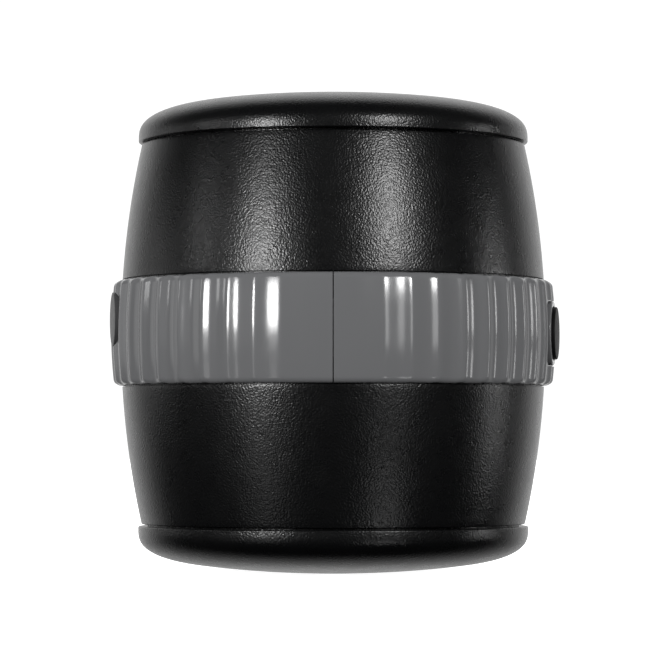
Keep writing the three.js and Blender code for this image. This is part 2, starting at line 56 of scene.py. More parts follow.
# Outlines and places below are in millimetres, like the drawing of the barrel. Property groups hold metres.
MM = 0.001
GAP = 0.3  # clearance between neighbouring pieces
ROUND_SIDES = 192
SMALL_SIDES = 64
FILLET_STEPS = 5
SHARP_ANGLE = math.radians(38)
FAR = 70  # cutters run out past the band to here
SHOULDER_POWERS = (2.9, 3.3)  # the caps' shoulder is a quarter of a superellipse
SLOT_TOP = 10  # depth of the slot between a cap's rim and its inner wall
SLOT_OUTER = 54.8
WALL_OUTER = 52.9
WALL_INNER = 50.9


# ---- Heights and radii read from the frame -----------------------------------------------------
def lowest(node):
    """Lowest corner of a frame node, in millimetres."""
    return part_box(node)[0] / MM


def highest(node):
    """Highest corner of a frame node, in millimetres."""
    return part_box(node)[1] / MM


HEIGHT = highest("lid_cap").z
MIDDLE = HEIGHT / 2
RIM_RADIUS = highest("base_cap").x
BASE_WALL_TOP = highest("base_cap").z
SHELL_FOOT = BASE_WALL_TOP + GAP
LIP_DEPTH = lowest("lower_shell").z
LAP_TOP = highest("lower_shell").z
SEAM = lowest("upper_shell").z - GAP / 2
NECK_TOP = highest("upper_shell").z
BAND_LOW = lowest("band_left").z
BAND_HIGH = highest("band_left").z
LINER_LOW = lowest("liner").z
LINER_TOP = highest("liner").z
PLATE_LOW = lowest("pressure_plate").z
PLATE_RADIUS = highest("pressure_plate").x
COLLAR_TOP = highest("pressure_plate").z
CLIP_LOW = lowest("lid_clip").z
CLIP_TOP = highest("lid_clip").z
CLIP_OUTER = highest("lid_clip").x
INNER_LID_RADIUS = highest("inner_lid").x
INNER_LID_FOOT = lowest("inner_lid").z
INNER_LID_RIM = highest("inner_lid").z


def length(name, description, millimetres):
    """A length property, kept in metres."""
    metres = millimetres * MM
    return FloatProperty(name=name, description=description, default=metres, unit="LENGTH", precision=5)


def angle(name, description, degrees):
    return FloatProperty(name=name, description=description, default=math.radians(degrees), subtype="ANGLE")


def colour(name, description, rgb):
    return FloatVectorProperty(name=name, description=description, default=rgb, size=3, subtype="COLOR")


def share(name, description, value):
    return FloatProperty(name=name, description=description, default=value, min=0, max=1, subtype="FACTOR")


# ---- Property groups ---------------------------------------------------------------------------
class BARREL_PG_casing(PropertyGroup):
    """Sizes of the caps and shells"""

    pad_radius: length("Pad radius", "Flat at the apex of each cap", 8)
    dome_arc: length("Dome arc", "Radius of a cap's dome seen from the side", 317)
    shoulder_start: length("Shoulder start", "Radius where the dome turns into the shoulder", 37.1)
    shoulder_drop: length("Shoulder drop", "Height of the rounded shoulder", 8.25)
    rim_round: length("Rim round", "Rounding of the rolling rim's edge", 0.4)
    cap_depth: length("Cap depth", "Apex of a cap to its rim's edge", 13.75)
    cap_wall: length("Cap wall", "Thickness of a cap's dome", 2.6)
    belly_radius: length("Belly radius", "Outside of the shells at the middle", 62.4)
    belly_arc: length("Belly arc", "Radius of the shells' bulge seen from the side", 255)
    inner_radius: length("Inner radius", "Inside of the shells at the middle", 58.6)
    inner_arc: length("Inner arc", "Radius of the inside's bulge", 300)
    floor: length("Floor", "Thickness of the floor and the shoulder", 2.6)
    neck_radius: length("Neck radius", "Outside of the threaded neck", 49)
    neck_bore: length("Neck bore", "Inside of the threaded neck", 46.3)
    pitch: length("Pitch", "Rise of the lid's thread in one turn", 3.3)


class BARREL_PG_band(PropertyGroup):
    """Sizes of the grip band, the badge disc and the plug"""

    inner_radius: length("Inner radius", "Inside of the half rings", 61.3)
    radius: length("Radius", "Mean radius of the face at the middle", 64.75)
    face_arc: length("Face arc", "Radius of the face's bulge seen from the side", 125)
    edge_round: length("Edge round", "Rounding of the band's edges", 1.8)
    first_crest: angle("First crest", "First crest of the flutes, from a seam", 5.3)
    flute_pitch: angle("Flute pitch", "From crest to crest", 84.7 / 11.5)
    flute_depth: length("Flute depth", "Half the height of a wave", 0.5)
    full_angle: angle("Full angle", "The flutes grow from a seam to here", 50)
    badge_azimuth: angle("Badge azimuth", "Place of the badge disc, from +X", -9)
    badge_radius: length("Badge radius", "Radius of the badge disc", 7.65)
    badge_face: length("Badge face", "Badge disc's face from the axis", 66.1)
    badge_thickness: length("Badge thickness", "Thickness of the badge disc", 1.4)
    boss_radius: length("Boss radius", "Round boss that the disc is set in", 9.4)
    boss_face: length("Boss face", "Boss's face from the axis", 65.1)
    flat_face: length("Flat face", "Square flat under the boss, from the axis", 63.8)
    flat_width: length("Flat width", "Width of the square flat", 21.2)
    flat_height: length("Flat height", "Height of the square flat", 19.2)
    plug_azimuth: angle("Plug azimuth", "Place of the round plug, from +X", 189)
    plug_height: length("Plug height", "Middle of the round plug over the base", 74)
    plug_radius: length("Plug radius", "Radius of the round plug", 7.9)
    plug_back: length("Plug back", "Plug's flat back from the axis", 63.3)
    plug_edge: length("Plug edge", "Edge of the plug's crown from the axis", 65.1)
    plug_crown: length("Plug crown", "Plug's crown from the axis", 65.43)


class BARREL_PG_finishes(PropertyGroup):
    """Colours and gloss of the finishes"""

    casing: colour("Casing", "Moulded casing", (0.0016, 0.0017, 0.0019))
    casing_roughness: share("Casing roughness", "Satin of the casing", 0.28)
    casing_grain: length("Casing grain", "Size of the casing's fine grain", 0.5)
    band: colour("Band", "Grip band", (0.098, 0.099, 0.102))
    band_roughness: share("Band roughness", "Gloss of the band", 0.14)
    badge: colour("Badge", "Badge disc", (0.005, 0.005, 0.0055))
    # The plug is the band's grey plastic; its darker colour is painted shade.
    plug: colour("Plug", "Round plug", (0.055, 0.0555, 0.057))
    rubber: colour("Rubber", "Liner and inner lid", (0.012, 0.0115, 0.0115))
    plate: colour("Plate", "Pressure plate", (0.022, 0.022, 0.023))
    steel: colour("Steel", "Screws and clip", (0.56, 0.56, 0.58))


class BARREL_PG_studio(PropertyGroup):
    """Camera and light"""

    eye_height: length("Eye height", "Camera over the floor", 38.92)
    eye_distance: length("Eye distance", "Camera to the barrel's axis", 1050)
    lens: FloatProperty(name="Lens", description="Focal length in millimetres", default=197.7, min=10)
    ambient: FloatProperty(name="Ambient", description="Radiance of the room on matt surfaces", default=0.7)
    key: FloatProperty(name="Key", description="Radiance of the main soft boxes", default=26.0)


# ---- Outlines ----------------------------------------------------------------------------------
def settings(name):
    """A property group's values, with lengths in millimetres."""
    group = getattr(bpy.context.scene, name)
    values = {}
    for prop in group.bl_rna.properties:
        if prop.identifier in {"rna_type", "name"}:
            continue
        value = getattr(group, prop.identifier)
        if prop.type == "FLOAT" and prop.unit == "LENGTH":
            value /= MM
        values[prop.identifier] = value
    return SimpleNamespace(**values)


def arc(r, z, across, up, first, last, steps):
    """Points of an arc of (radius, height), from first to last in degrees."""
    turns = [math.radians(first + (last - first) * i / steps) for i in range(steps + 1)]
    return [(r + across * math.cos(a), z + up * math.sin(a)) for a in turns]


def bellied(middle_radius, bend, z):
    """Radius at a height of a surface that bulges round the middle."""
    return middle_radius - bend + math.sqrt(bend * bend - (z - MIDDLE) ** 2)


def bellied_line(middle_radius, bend, z0, z1, steps=24):
    heights = [z0 + (z1 - z0) * i / steps for i in range(steps + 1)]
    return [(bellied(middle_radius, bend, z), z) for z in heights]


def rounded(corners, steps=FILLET_STEPS):
    """A closed outline from corners of (radius, height) or (radius, height, fillet)."""
    points = []
    for i, corner in enumerate(corners):
        here = Vector(corner[:2])
        if len(corner) == 2:
            points.append(tuple(here))
            continue
        before = Vector(corners[i - 1][:2]) - here
        after = Vector(corners[(i + 1) % len(corners)][:2]) - here
        half = before.angle(after) / 2
        longest = 0.48 * min(before.length, after.length)
        reach = min(corner[2] / math.tan(half), longest)
        radius = reach * math.tan(half)
        middle = before.normalized() + after.normalized()
        centre = here + middle.normalized() * (radius / math.sin(half))
        start = here + before.normalized() * reach - centre
        end = here + after.normalized() * reach - centre
        turn = math.copysign(math.pi - 2 * half, start.x * end.y - start.y * end.x)
        for k in range(steps + 1):
            points.append(tuple(centre + Matrix.Rotation(turn * k / steps, 2) @ start))
    return points


def dome_depth(casing, r):
    return max(0, r * r - casing.pad_radius**2) / (2 * casing.dome_arc)


def cap_outside(casing):
    """Outside of a cap as (radius, depth) from its apex to its rim's edge."""
    reach = RIM_RADIUS - casing.shoulder_start
    dome_steps, shoulder_steps, crowding = 16, 40, 1.6
    span = casing.shoulder_start - casing.pad_radius
    radii = [casing.pad_radius + span * i / dome_steps for i in range(dome_steps)]
    dome = [(0, 0), *((r, dome_depth(casing, r)) for r in radii)]
    shoulder = []
    for i in range(shoulder_steps + 1):
        a = math.pi / 2 * (1 - (1 - i / shoulder_steps) ** crowding)
        r = casing.shoulder_start + reach * math.sin(a) ** (2 / SHOULDER_POWERS[0])
        left = max(0, math.cos(a)) ** (2 / SHOULDER_POWERS[1])
        shoulder.append((r, dome_depth(casing, r) + casing.shoulder_drop * (1 - left)))
    edge = casing.rim_round
    rim = arc(RIM_RADIUS - edge, casing.cap_depth - edge, edge, edge, 0, 90, 8)
    return dome + shoulder + rim


def cap_inside(casing, wall_depth):
    """Inside of a cap from its rim's edge to the foot of its inner wall, with small roundings."""
    return [
        (SLOT_OUTER, casing.cap_depth, 0.4),
        (SLOT_OUTER, SLOT_TOP, 0.5),
        (WALL_OUTER, SLOT_TOP, 0.5),
        (WALL_OUTER, wall_depth, 0.3),
        (WALL_INNER, wall_depth, 0.3),
        inner_dome(casing, WALL_INNER, 1.0),
    ]


def inner_dome(casing, r, *fillet):
    return (r, casing.cap_wall + dome_depth(casing, r), *fillet)


# ---- Mesh building -----------------------------------------------------------------------------
def turned(outline, sides=ROUND_SIDES, shape=None):
    """Vertices and faces of an outline turned round the Z axis. shape scales the radius by the angle."""
    area = sum(a[0] * b[1] - b[0] * a[1] for a, b in zip(outline, outline[1:] + outline[:1]))
    ordered = outline if area > 0 else outline[::-1]
    angles = [2 * math.pi * i / sides for i in range(sides)]
    vertices, rings, faces = [], [], []
    for r, z in ordered:
        start = len(vertices)
        if r < 1e-6:
            vertices.append((0, 0, z))
        else:
            reach = [r * shape(a) if shape else r for a in angles]
            vertices += [(k * math.cos(a), k * math.sin(a), z) for k, a in zip(reach, angles)]
        rings.append(range(start, len(vertices)))
    for below, above in zip(rings, rings[1:] + rings[:1]):
        for i in range(sides):
            j = (i + 1) % sides
            if len(below) > 1 and len(above) > 1:
                faces.append((below[i], below[j], above[j], above[i]))
            elif len(below) > 1:
                faces.append((below[i], below[j], above[0]))
            elif len(above) > 1:
                faces.append((below[0], above[j], above[i]))
    return vertices, faces


def lofted(sections, angles):
    """Vertices and faces of closed sections set at angles round the Z axis, with flat ends."""
    count = len(sections[0])
    vertices = [
        (r * math.cos(a), r * math.sin(a), z)
        for section, a in zip(sections, angles)
        for r, z in section
    ]
    faces = []
    for ring in range(len(sections) - 1):
        for i in range(count):
            a, b = ring * count + i, ring * count + (i + 1) % count
            faces.append((a, a + count, b + count, b))
    faces.append(tuple(range(count)))
    last = (len(sections) - 1) * count
    faces.append(tuple(range(last + count - 1, last - 1, -1)))
    return vertices, faces


def piece(name, geometry, place=None):
    """A smooth-shaded object from vertices in millimetres and faces."""
    vertices, faces = geometry
    mesh = bpy.data.meshes.new(name)
    mesh.from_pydata([Vector(v) * MM for v in vertices], [], faces)
    if place:
        mesh.transform(place)
    mesh.shade_smooth()
    mesh.set_sharp_from_angle(angle=SHARP_ANGLE)
    made = bpy.data.objects.new(name, mesh)
    bpy.context.scene.collection.objects.link(made)
    return made


def combine(base, others, operation):
    """Joins others to base or cuts them from it, and removes them."""
    for other in others:
        step = base.modifiers.new("combine", "BOOLEAN")
        step.operation, step.solver, step.object = operation, "MANIFOLD", other
    graph = bpy.context.evaluated_depsgraph_get()
    mesh = bpy.data.meshes.new_from_object(base.evaluated_get(graph))
    if not mesh.polygons:
        raise RuntimeError(f"{base.name} came out empty when its parts were combined")
    base.modifiers.clear()
    base.data = mesh
    mesh.shade_smooth()
    mesh.set_sharp_from_angle(angle=SHARP_ANGLE)
    for other in others:
        bpy.data.objects.remove(other)
    return base


def finish_piece(made, body, slot, material, *nodes):
    """Gives a piece its finish and its body, and hides the frame nodes it stands for."""
    made.data.materials.clear()
    made.data.materials.append(material())
    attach(made, body)
    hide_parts(*nodes)
    return made


def outward(azimuth, z):
    """Turns a shape drawn up +Z so that it lies along a radius of the barrel, at a height in millimetres."""
    lift = Matrix.Translation((0, 0, z * MM))
    return lift @ Matrix.Rotation(azimuth, 4, "Z") @ Matrix.Rotation(math.pi / 2, 4, "Y")


def ridge(wall, side, start, pitch, sweep, depth=1.4, root=1.5, crest=0.7, buried=0.4, runout=24):
    """A helical thread ridge on a wall. side is 1 outside the wall and -1 inside it; sweep is in degrees."""
    step = 3
    turns = [sweep[0] + i * step for i in range(round((sweep[1] - sweep[0]) / step) + 1)]
    sections = []
    for turn in turns:
        full = min(1, 0.08 + min(turn - sweep[0], sweep[1] - turn) / runout)
        full = full * full * (3 - 2 * full)
        middle = start + pitch * turn / 360
        foot, top = wall - side * buried, wall + side * max(depth * full, 0.05)
        corners = [
            (foot, middle - root / 2),
            (top, middle - crest / 2, 0.3),
            (top, middle + crest / 2, 0.3),
            (foot, middle + root / 2),
        ]
        points = rounded(corners, 2)
        sections.append(points if side > 0 else points[::-1])
    return lofted(sections, [math.radians(t) for t in turns])


# ---- Finishes ----------------------------------------------------------------------------------
def shader_tree(name):
    """A new material's nodes, links, main shader and object coordinates."""
    made = bpy.data.materials.new(name)
    made.use_nodes = True
    tree = made.node_tree
    shader = tree.nodes["Principled BSDF"]
    place = tree.nodes.new("ShaderNodeTexCoord").outputs["Object"]
    return made, tree, shader, place


def noise(tree, place, size, detail=2.0, roughness=0.5):
    """Noise whose features are about size millimetres across."""
    made = tree.nodes.new("ShaderNodeTexNoise")
    made.inputs["Scale"].default_value = 1 / (size * MM)
    made.inputs["Detail"].default_value = detail
    made.inputs["Roughness"].default_value = roughness
    tree.links.new(place, made.inputs["Vector"])
    return made.outputs["Fac"]


def spread(tree, value, centre, half):
    """Maps a noise value to centre plus or minus about half."""
    made = tree.nodes.new("ShaderNodeMapRange")
    made.inputs["From Min"].default_value = 0.25
    made.inputs["From Max"].default_value = 0.75
    made.inputs["To Min"].default_value = centre - half
    made.inputs["To Max"].default_value = centre + half
    tree.links.new(value, made.inputs["Value"])
    return made.outputs["Result"]


def tinted(tree, shader, value, rgb, variation):
    """Base colour that varies a little with a noise value."""
    made = tree.nodes.new("ShaderNodeMix")
    made.data_type = "RGBA"
    made.inputs["A"].default_value = (*[c * (1 - variation) for c in rgb], 1)
    made.inputs["B"].default_value = (*[c * (1 + variation) for c in rgb], 1)
    tree.links.new(value, made.inputs["Factor"])
    tree.links.new(made.outputs["Result"], shader.inputs["Base Color"])


def bumped(tree, shader, value, height, below=None, strength=1.0):
    """Surface relief of a height in millimetres, over another relief if one is given."""
    made = tree.nodes.new("ShaderNodeBump")
    made.inputs["Strength"].default_value = strength
    made.inputs["Distance"].default_value = height * MM
    tree.links.new(value, made.inputs["Height"])
    if below:
        tree.links.new(below, made.inputs["Normal"])
    tree.links.new(made.outputs["Normal"], shader.inputs["Normal"])
    return made.outputs["Normal"]


def pebbles(tree, place, size):
    """Rounded moulded grain: smooth cells about size millimetres across."""
    made = tree.nodes.new("ShaderNodeTexVoronoi")
    made.feature = "SMOOTH_F1"
    made.inputs["Scale"].default_value = 1 / (size * MM)
    made.inputs["Smoothness"].default_value = 0.6
    tree.links.new(place, made.inputs["Vector"])
    return made.outputs["Distance"]


def kept(name, build):
    """The material of that name, built the first time it is asked for."""
    return bpy.data.materials.get(name) or build(name)


def casing_plastic():
    return kept("casing_plastic", build_casing)


def build_casing(name):
    finishes = settings("barrel_finishes")
    made, tree, shader, place = shader_tree(name)
    grain = finishes.casing_grain
    tinted(tree, shader, noise(tree, place, 14, 3), finishes.casing, 0.14)
    satin = spread(tree, noise(tree, place, 6, 4), finishes.casing_roughness, 0.025)
    tree.links.new(satin, shader.inputs["Roughness"])
    drawn = bumped(tree, shader, noise(tree, place, 12, 2), 0.02)
    bumped(tree, shader, noise(tree, place, grain, 0), 0.075, drawn)
    shader.inputs["IOR"].default_value = 1.5
    shader.inputs["Specular IOR Level"].default_value = 0.5
    return made


def band_plastic():
    return kept("band_plastic", build_band)


def build_band(name):
    finishes = settings("barrel_finishes")
    made, tree, shader, place = shader_tree(name)
    tinted(tree, shader, noise(tree, place, 22, 3), finishes.band, 0.03)
    gloss = spread(tree, noise(tree, place, 5, 4), finishes.band_roughness, 0.02)
    tree.links.new(gloss, shader.inputs["Roughness"])
    sink = bumped(tree, shader, noise(tree, place, 9, 1), 0.03)
    bumped(tree, shader, noise(tree, place, 0.5, 2), 0.0012, sink)
    shader.inputs["IOR"].default_value = 1.52
    shader.inputs["Specular IOR Level"].default_value = 0.5
    return made


def badge_enamel():
    return kept("badge_enamel", build_badge)


def build_badge(name):
    finishes = settings("barrel_finishes")
    made, tree, shader, place = shader_tree(name)
    tinted(tree, shader, noise(tree, place, 3, 3), finishes.badge, 0.2)
    matt = spread(tree, noise(tree, place, 1.2, 4), 0.55, 0.05)
    tree.links.new(matt, shader.inputs["Roughness"])
    bumped(tree, shader, noise(tree, place, 0.35, 3), 0.02)
    shader.inputs["Specular IOR Level"].default_value = 0.12
    return made


# The plug's material: the band's grey darkened, so the plug carries painted shade.
def shaded_plug_plastic():
    return kept("shaded_plug_plastic", build_shaded_plug)


def build_shaded_plug(name):
    finishes = settings("barrel_finishes")
    made, tree, shader, place = shader_tree(name)
    tinted(tree, shader, noise(tree, place, 4, 3), finishes.plug, 0.1)
    satin = spread(tree, noise(tree, place, 2, 4), 0.45, 0.04)
    tree.links.new(satin, shader.inputs["Roughness"])
    bumped(tree, shader, noise(tree, place, 0.4, 3), 0.005)
    shader.inputs["Specular IOR Level"].default_value = 0.2
    return made


def moulded_rubber():
    return kept("moulded_rubber", build_rubber)


def build_rubber(name):
    finishes = settings("barrel_finishes")
    made, tree, shader, place = shader_tree(name)
    tinted(tree, shader, noise(tree, place, 9, 5), finishes.rubber, 0.25)
    dull = spread(tree, noise(tree, place, 4, 4), 0.68, 0.06)
    tree.links.new(dull, shader.inputs["Roughness"])
    flow = bumped(tree, shader, noise(tree, place, 3, 3), 0.03)
    bumped(tree, shader, noise(tree, place, 0.3, 3), 0.01, flow)
    shader.inputs["Specular IOR Level"].default_value = 0.35
    shader.inputs["Sheen Weight"].default_value = 0.06
    shader.inputs["Sheen Roughness"].default_value = 0.5
    return made


def plate_plastic():
    return kept("plate_plastic", build_plate)


def build_plate(name):
    finishes = settings("barrel_finishes")
    made, tree, shader, place = shader_tree(name)
    tinted(tree, shader, noise(tree, place, 12, 4), finishes.plate, 0.12)
    matt = spread(tree, noise(tree, place, 5, 4), 0.5, 0.04)
    tree.links.new(matt, shader.inputs["Roughness"])
    bumped(tree, shader, pebbles(tree, place, 0.6), 0.02)
    return made


def plated_steel():
    return kept("plated_steel", build_steel)


def build_steel(name):
    finishes = settings("barrel_finishes")
    made, tree, shader, place = shader_tree(name)
    tinted(tree, shader, noise(tree, place, 1.5, 4), finishes.steel, 0.08)
    worn = spread(tree, noise(tree, place, 0.8, 5), 0.3, 0.07)
    tree.links.new(worn, shader.inputs["Roughness"])
    bumped(tree, shader, noise(tree, place, 0.25, 3), 0.003)
    shader.inputs["Metallic"].default_value = 1
    return made


# ---- Caps --------------------------------------------------------------------------------------
SCREW_CIRCLE = 32  # radius of the base screws' circle
POST_RADIUS = 4.2
BASE_SCREW = SimpleNamespace(head=3.0, shank=1.3, head_height=1.7, length=9.1)
SHELL_SCREW = SimpleNamespace(head=2.4, shank=1.2, head_height=1.2, length=5.1)
BAND_SCREW = SimpleNamespace(head=2.8, shank=1.3, head_height=1.4, length=7.0)


def base_places():
    """Where the base screws stand, from the frame's own screws."""
    corners = [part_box(f"base_screw_{i + 1}") for i in range(4)]
    return [((a + b) / 2 / MM).to_2d().to_tuple() + (b.z / MM,) for a, b in corners]


def screw_room(screw, clearance=GAP):
    """The hole for a screw whose head's face is at the origin and whose shank runs down."""
    wide, narrow = screw.head + clearance, screw.shank + clearance
    outline = [
        (0, 1),
        (wide, 1),
        (wide, -clearance),
        (narrow, -screw.head_height),
        (narrow, -screw.length - clearance),
        (0, -screw.length - clearance),
    ]
    return turned(outline, SMALL_SIDES)


class BARREL_OT_base_cap(Operator):
    """Add the domed base cap with its screw posts"""

    bl_idname = "barrel.base_cap"
    bl_label = "Base Cap"

    def execute(self, context):
        casing = settings("barrel_casing")
        dome = [inner_dome(casing, r) for r in (45, 36, 27, 18, 9, 0)]
        inside = rounded(cap_inside(casing, BASE_WALL_TOP)) + dome
        cap = piece("domed_base", turned(cap_outside(casing) + inside))
        foot = casing.cap_wall / 2 + dome_depth(casing, SCREW_CIRCLE)
        top = BASE_WALL_TOP
        outline = rounded([(0, foot), (POST_RADIUS, foot), (POST_RADIUS, top, 0.4), (0, top)])
        posts, holes = [], []
        for x, y, z in base_places():
            place = Matrix.Translation((x * MM, y * MM, 0))
            posts.append(piece("post", turned(outline, SMALL_SIDES), place))
            lift = Matrix.Translation((x * MM, y * MM, z * MM))
            holes.append(piece("hole", screw_room(BASE_SCREW), lift))
        combine(cap, posts, "UNION")
        combine(cap, holes, "DIFFERENCE")
        finish_piece(cap, "barrel", "casing", casing_plastic, "base_cap")
        return {"FINISHED"}


LID_WALL_DEPTH = 13.6
THREAD_START = 127.2
MALE_SWEEP = (0, 480)  # degrees
FEMALE_SWEEP = (-120, 360)
PLATE_THICKNESS = 1.8
PRESS_RING = SimpleNamespace(outer=38.5, inner=36)  # lid's ring that pushes on the plate
LID_BOSS = SimpleNamespace(radius=6, flange=7.2, flange_height=1.2)  # lid's boss that the plate hangs on


class BARREL_OT_screw_lid(Operator):
    """Add the domed screw lid with its thread, press ring and centre boss"""

    bl_idname = "barrel.screw_lid"
    bl_label = "Screw Lid"

    def execute(self, context):
        casing = settings("barrel_casing")
        ring_depth = HEIGHT - PLATE_LOW - PLATE_THICKNESS - GAP
        boss_depth = HEIGHT - CLIP_LOW + GAP
        flange_depth = boss_depth + LID_BOSS.flange_height
        inside = [
            *cap_inside(casing, LID_WALL_DEPTH),
            inner_dome(casing, PRESS_RING.outer, 0.5),
            (PRESS_RING.outer, ring_depth, 0.4),
            (PRESS_RING.inner, ring_depth, 0.4),
            inner_dome(casing, PRESS_RING.inner, 0.5),
            inner_dome(casing, 20),
            inner_dome(casing, LID_BOSS.radius, 0.5),
            (LID_BOSS.radius, boss_depth, 0.2),
            (LID_BOSS.flange, boss_depth, 0.2),
            (LID_BOSS.flange, flange_depth, 0.4),
            (0, flange_depth),
        ]
        outside = cap_outside(casing)
        whole = rounded([outside[-1], *inside, outside[0]])[1:-1]
        outline = [(r, HEIGHT - depth) for r, depth in outside + whole]
        lid = piece("domed_lid", turned(outline))
        start = THREAD_START + casing.pitch / 2
        thread = piece("thread", ridge(WALL_INNER, -1, start, casing.pitch, FEMALE_SWEEP))
        combine(lid, [thread], "UNION")
        finish_piece(lid, "screw_lid", "casing", casing_plastic, "lid_cap")
        return {"FINISHED"}


# ---- Shells ------------------------------------------------------------------------------------
SEAT_RADIUS = 61  # bottom of the rebate that the band lies in
LAP_INNER = 55.4
LAP_LOW = 57
SHELL_SCREW_FACE = SEAT_RADIUS - 0.1


def azimuth_of(node):
    """Angle of a frame node's middle round the axis, from +X."""
    a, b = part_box(node)
    middle = (a + b) / 2
    return math.atan2(middle.y, middle.x)


def shell_places():
    azimuths = [azimuth_of(f"shell_screw_{i + 1}") for i in range(6)]
    return [(outward(azimuth, MIDDLE), SHELL_SCREW_FACE) for azimuth in azimuths]


def band_places():
    band = settings("barrel_band")
    right = outward(band.badge_azimuth, MIDDLE), band.badge_face - band.badge_thickness - 2 * GAP
    left = outward(band.plug_azimuth, band.plug_height), band.plug_back - 2 * GAP
    return right, left


def raised(distance):
    return Matrix.Translation((0, 0, distance * MM))


def wall_holes():
    """Cutters for the radial screws through the lapped walls."""
    screws = [(SHELL_SCREW, *place) for place in shell_places()]
    screws += [(BAND_SCREW, *place) for place in band_places()]
    return [piece("hole", screw_room(size), place @ raised(face)) for size, place, face in screws]


class BARREL_OT_shells(Operator):
    """Add the lower and upper shells, with the lap ring and the threaded neck"""

    bl_idname = "barrel.shells"
    bl_label = "Shells"

    def execute(self, context):
        casing = settings("barrel_casing")
        floor = SHELL_FOOT + casing.floor
        lap_outer = casing.inner_radius - GAP

        def inside(z):
            return bellied(casing.inner_radius, casing.inner_arc, z)

        band_low, band_high = BAND_LOW - GAP, BAND_HIGH + GAP
        lip = [
            (WALL_OUTER + GAP, SHELL_FOOT, 0.3),
            (WALL_OUTER + GAP, LIP_DEPTH, 0.3),
            (SLOT_OUTER - GAP, LIP_DEPTH, 0.3),
            (SLOT_OUTER - GAP, SHELL_FOOT, 0.15),
        ]
        outside = bellied_line(casing.belly_radius, casing.belly_arc, SHELL_FOOT, band_low)
        lower = rounded([
            (0, SHELL_FOOT),
            *lip,
            (*outside[0], 0.3),
            *outside[1:-1],
            (*outside[-1], 0.15),
            (SEAT_RADIUS, band_low),
            (SEAT_RADIUS, SEAM - GAP / 2, 0.2),
            (lap_outer, SEAM - GAP / 2),
            (lap_outer, LAP_TOP, 0.4),
            (LAP_INNER, LAP_TOP, 0.4),
            (LAP_INNER, LAP_LOW + 2, 0.8),
            (inside(LAP_LOW), LAP_LOW, 0.8),
            *bellied_line(casing.inner_radius, casing.inner_arc, LAP_LOW - 2, floor + 3, 12),
            (inside(floor), floor, 1.5),
            (0, floor),
        ])
        shell = piece("lower_casing", turned(lower))
        floor_holes = [
            piece("hole", screw_room(BASE_SCREW), Matrix.Translation(Vector(place) * MM))
            for place in base_places()
        ]
        combine(shell, floor_holes + wall_holes(), "DIFFERENCE")
        finish_piece(shell, "barrel", "casing", casing_plastic, "lower_shell")

        top = HEIGHT - SHELL_FOOT
        ceiling = top - casing.floor
        outside = bellied_line(casing.belly_radius, casing.belly_arc, band_high, top)
        upper = rounded([
            (casing.inner_radius, SEAM + GAP / 2, 0.2),
            (SEAT_RADIUS, SEAM + GAP / 2, 0.2),
            (SEAT_RADIUS, band_high),
            (*outside[0], 0.15),
            *outside[1:-1],
            (*outside[-1], 0.3),
            *[(r, HEIGHT - depth, fillet) for r, depth, fillet in reversed(lip)],
            (casing.neck_radius, top, 0.6),
            (casing.neck_radius, NECK_TOP, 0.4),
            (casing.neck_bore, NECK_TOP, 0.4),
            (casing.neck_bore, ceiling, 0.5),
            (inside(ceiling), ceiling, 1.5),
            *bellied_line(casing.inner_radius, casing.inner_arc, ceiling - 3, LAP_TOP, 12),
        ])
        shell = piece("upper_casing", turned(upper))
        thread = piece("thread", ridge(casing.neck_radius, 1, THREAD_START, casing.pitch, MALE_SWEEP))
        combine(shell, [thread], "UNION")
        combine(shell, wall_holes(), "DIFFERENCE")
        finish_piece(shell, "barrel", "casing", casing_plastic, "upper_shell")
        return {"FINISHED"}


# ---- Grip band ---------------------------------------------------------------------------------
BAND_ROWS = 36
BAND_STEP = 0.4  # degrees
CREST_SHORT = 0.5  # the crests stop short of the band's edges by this share of the wave
CREST_WIDTH = 0.35  # softness of the crests' tops against the hollows
TONGUE = SimpleNamespace(thickness=1.4, height=16, length=7, radius=63)


def eased(value, start, end):
    t = min(1, max(0, (value - start) / (end - start)))
    return t * t * (3 - 2 * t)


def flute_wave(band, azimuth):
    """Height of the flutes at an angle from +X: broad hollows between narrower crests."""
    from_seam = abs(azimuth % math.pi - math.pi / 2)
    grown = eased(from_seam, 0, band.full_angle)
    across = math.sin(math.pi * (from_seam - band.first_crest) / band.flute_pitch)
    sunk = (math.hypot(across, CREST_WIDTH) - CREST_WIDTH) / (math.hypot(1, CREST_WIDTH) - CREST_WIDTH)
    return band.flute_depth * grown * (1 - 2 * sunk)


def band_section(band, azimuth):
    """The band's section at an angle."""
    wave = flute_wave(band, azimuth)
    shorter = CREST_SHORT * max(0, wave)
    bottom, top = BAND_LOW + shorter, BAND_HIGH - shorter

    def face(z):
        return bellied(band.radius, band.face_arc, z) + wave

    edge = band.edge_round
    low_z, high_z = bottom + edge, top - edge
    heights = [low_z + (high_z - low_z) * i / BAND_ROWS for i in range(BAND_ROWS + 1)]
    outer = [(face(z), z) for z in heights]
    lower_edge = arc(outer[0][0] - edge, low_z, edge, edge, -90, 0, 6)[:-1]
    upper_edge = arc(outer[-1][0] - edge, high_z, edge, edge, 0, 90, 6)[1:]
    inner_low, inner_high = (band.inner_radius, bottom), (band.inner_radius, top)
    return [inner_low, *lower_edge, *outer, *upper_edge, inner_high]


def tongue(azimuth, room):
    """The block across a seam that lines the half rings up, or with room added its socket."""
    across, along, tall = TONGUE.thickness / 2 + room, TONGUE.length / 2 + room, TONGUE.height / 2 + room
    near, far = TONGUE.radius - across, TONGUE.radius + across
    corners = [(x, y, z) for x in (near, far) for y in (-along, along) for z in (-tall, tall)]
    faces = [(0, 1, 3, 2), (4, 6, 7, 5), (0, 4, 5, 1), (2, 3, 7, 6), (0, 2, 6, 4), (1, 5, 7, 3)]
    place = Matrix.Translation((0, 0, MIDDLE * MM)) @ Matrix.Rotation(azimuth, 4, "Z")
    return piece("tongue", (corners, faces), place)


